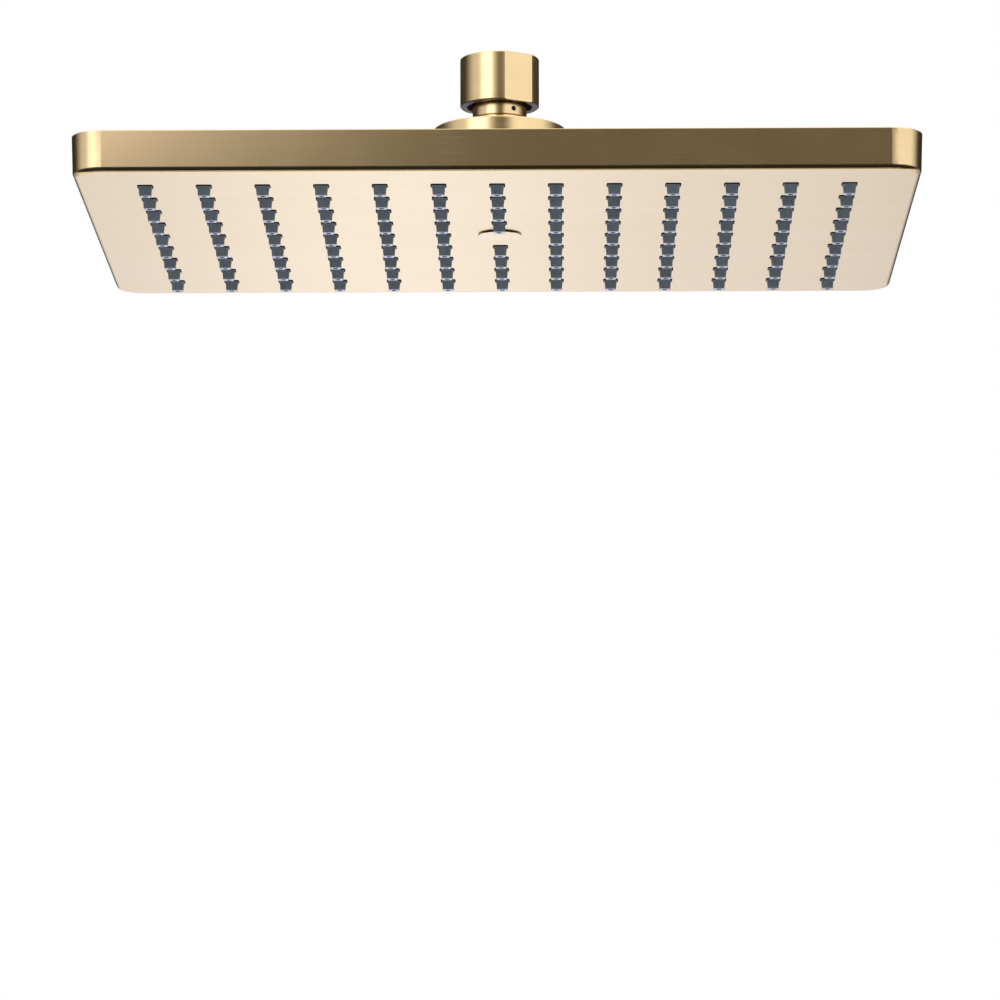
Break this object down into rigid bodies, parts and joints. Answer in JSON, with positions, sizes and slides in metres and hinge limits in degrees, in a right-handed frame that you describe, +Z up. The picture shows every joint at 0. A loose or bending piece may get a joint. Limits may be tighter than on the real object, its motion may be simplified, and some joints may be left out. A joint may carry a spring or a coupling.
{
  "type": "rectangular rain shower head",
  "caption": "Thin rectangular overhead rain shower head with rounded corners, rubber nozzles and a swivelling ball-joint inlet on a turned bell.",
  "frame": {"origin": "centre of the inlet thread's mouth, where the shower arm enters", "axes": "+Z up along the inlet thread and out of its mouth, +X along the head's long side, +Y along its short side; the head hangs towards -Z"},
  "size_m": [0.3028, 0.217, 0.0709],
  "materials": {
    "brushed_gold": "brushed along the long side, gold PVD coating",
    "turned_gold": "fine turned, satin, gold PVD coating",
    "chrome_brass": "polished and plated",
    "raw_brass": "machined, uncoated",
    "steel": "stainless, plain",
    "steel_dark": "stainless, dark",
    "silicone": "dark blue-grey silicone, semi-matt",
    "seal_rubber": "black EPDM, matt",
    "poly_grey": "moulded engineering plastic",
    "poly_white": "moulded acetal",
    "ptfe": "PTFE, smooth"
  },
  "bodies": {
    "inlet": {"inlet_body": "turned_gold", "ball_stem": "chrome_brass", "stem_seal": "seal_rubber", "inlet_washer": "seal_rubber", "strainer_screen": "steel", "flow_restrictor": "poly_white"},
    "liner": {"ball_liner": "ptfe"},
    "seat": {"lower_seat": "poly_white", "seat_o_ring": "seal_rubber"},
    "head": {"retaining_collar": "turned_gold", "collar_lock_screw": "steel_dark", "neck_bell": "turned_gold", "bell_gasket": "seal_rubber", "lock_washer": "steel", "bell_lock_nut": "raw_brass", "spigot_o_ring": "seal_rubber", "back_cover": "brushed_gold", "chamber_cover": "poly_grey", "chamber_seal": "seal_rubber", "chamber_screws": "steel", "spray_plate": "poly_grey", "nozzle_mat": "silicone", "face_shell": "brushed_gold", "centre_screw": "steel", "centre_screw_seal": "seal_rubber", "centre_cap": "brushed_gold"}
  },
  "joints": [
    {"name": "tilt_x", "type": "hinge", "parent": "inlet", "child": "liner", "pos_m": [0, 0, -0.0255], "axis": [1, 0, 0], "range_deg": [-10, 10]},
    {"name": "tilt_y", "type": "hinge", "parent": "liner", "child": "seat", "pos_m": [0, 0, -0.0255], "axis": [0, 1, 0], "range_deg": [-10, 10]},
    {"name": "head_spin", "type": "hinge", "parent": "seat", "child": "head", "pos_m": [0, 0, -0.0255], "axis": [0, 0, 1], "continuous": true}
  ]
}
